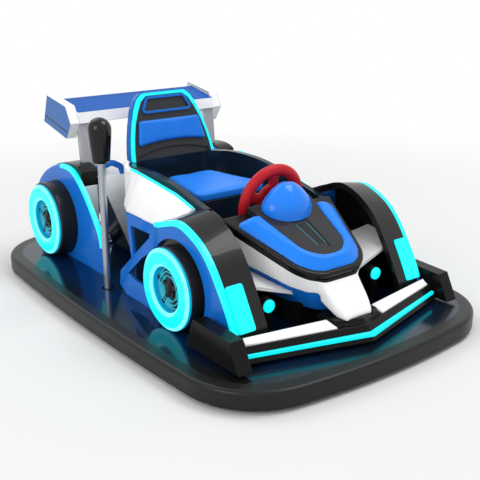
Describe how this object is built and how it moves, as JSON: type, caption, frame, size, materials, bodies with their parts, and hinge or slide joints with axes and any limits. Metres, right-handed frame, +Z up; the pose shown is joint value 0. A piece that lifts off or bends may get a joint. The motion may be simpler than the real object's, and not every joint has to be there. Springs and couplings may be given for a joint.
{
  "type": "bumper car",
  "caption": "Open-wheel racer style ride car on an oblong rubber bumper ring, with a steered drive wheel, two rear wheels, a tilting hand lever and a bucket cockpit.",
  "frame": {"origin": "floor level under the middle of the bumper ring", "axes": "-Y is the way it drives, +X is the driver's left, +Z is up"},
  "size_m": [1.2, 1.7756, 0.7236],
  "materials": {
    "bumper_rubber": "satin moulded rubber",
    "deck_gloss": "mirror-gloss dark blue sheet",
    "frame_steel": "black powder coat",
    "battery_case": "matt case",
    "bright_steel": "brushed",
    "tyre_black": "solid rubber",
    "body_white": "gloss moulded shell",
    "body_blue": "gloss moulded shell",
    "trim_black": "gloss moulded trim",
    "tub_black": "gloss moulded tub",
    "pad_blue": "smooth soft-touch pad",
    "glow_cyan": "translucent, lit from behind",
    "wheel_red": "satin moulded grip",
    "knob_black": "gloss moulded knob"
  },
  "bodies": {
    "root": {"backrest_led": "glow_cyan", "backrest_pad": "pad_blue", "backrest_panel": "trim_black", "backrest_shell": "body_blue", "battery_block": "battery_case", "bumper_ring": "bumper_rubber", "chassis_frame": "frame_steel", "dash_dome": "pad_blue", "deck": "deck_gloss", "edge_lights": "glow_cyan", "fender_shoulders": "trim_black", "front_fender_sides": "body_blue", "front_fenders": "trim_black", "front_insets": "body_white", "front_lamps": "glow_cyan", "front_wing": "trim_black", "front_wing_led": "glow_cyan", "front_wing_plates": "trim_black", "glow_hubs": "trim_black", "glow_rings": "glow_cyan", "head_lamps": "glow_cyan", "headrest_frame": "body_blue", "hood_console": "trim_black", "hood_pad": "pad_blue", "hood_rim": "trim_black", "lamp_posts": "trim_black", "nose_cone": "body_white", "nose_side": "body_blue", "nose_skirt": "trim_black", "rear_axle": "bright_steel", "rear_cover": "body_white", "rear_fender_boxes": "body_white", "rear_fender_sides": "body_blue", "rear_fender_tops": "trim_black", "rear_stays": "body_blue", "rear_wing": "body_blue", "rear_wing_plates": "body_white", "rear_wing_struts": "body_white", "seat_cushion": "pad_blue", "seat_pan": "tub_black", "seat_tub": "tub_black", "side_frames": "body_blue", "side_pods": "body_white", "steering_column": "frame_steel", "suspension_arms": "body_white"},
    "fork": {"drive_fork": "bright_steel"},
    "front_wheel": {"drive_wheel": "tyre_black"},
    "wheel_rear_left": {"rear_wheel_left": "tyre_black"},
    "wheel_rear_right": {"rear_wheel_right": "tyre_black"},
    "lever": {"lever_rod": "bright_steel", "lever_knob": "knob_black"},
    "hand_wheel": {"steering_wheel": "wheel_red"}
  },
  "joints": [
    {"name": "hand_wheel_turn", "type": "hinge", "parent": "root", "child": "hand_wheel", "pos_m": [0, -0.29, 0.424], "axis": [0, 0.9848, 0.1736], "range_deg": [-90, 90]},
    {"name": "fork_swivel", "type": "hinge", "parent": "root", "child": "fork", "pos_m": [0, -0.45, 0.16], "axis": [0, 0, 1], "range_deg": [-60, 60]},
    {"name": "drive_wheel_spin", "type": "hinge", "parent": "fork", "child": "front_wheel", "pos_m": [0, -0.45, 0.07], "axis": [1, 0, 0], "continuous": true},
    {"name": "rear_left_spin", "type": "hinge", "parent": "root", "child": "wheel_rear_left", "pos_m": [0.332, 0.6, 0.092], "axis": [1, 0, 0], "continuous": true},
    {"name": "rear_right_spin", "type": "hinge", "parent": "root", "child": "wheel_rear_right", "pos_m": [-0.332, 0.6, 0.092], "axis": [1, 0, 0], "continuous": true},
    {"name": "lever_tilt", "type": "hinge", "parent": "root", "child": "lever", "pos_m": [-0.428, 0.1225, 0.0474], "axis": [1, 0, 0], "range_deg": [-12, 12]}
  ],
  "couplings": [
    {"joint": "fork_swivel", "follows": "hand_wheel_turn", "ratio": 0.66}
  ]
}
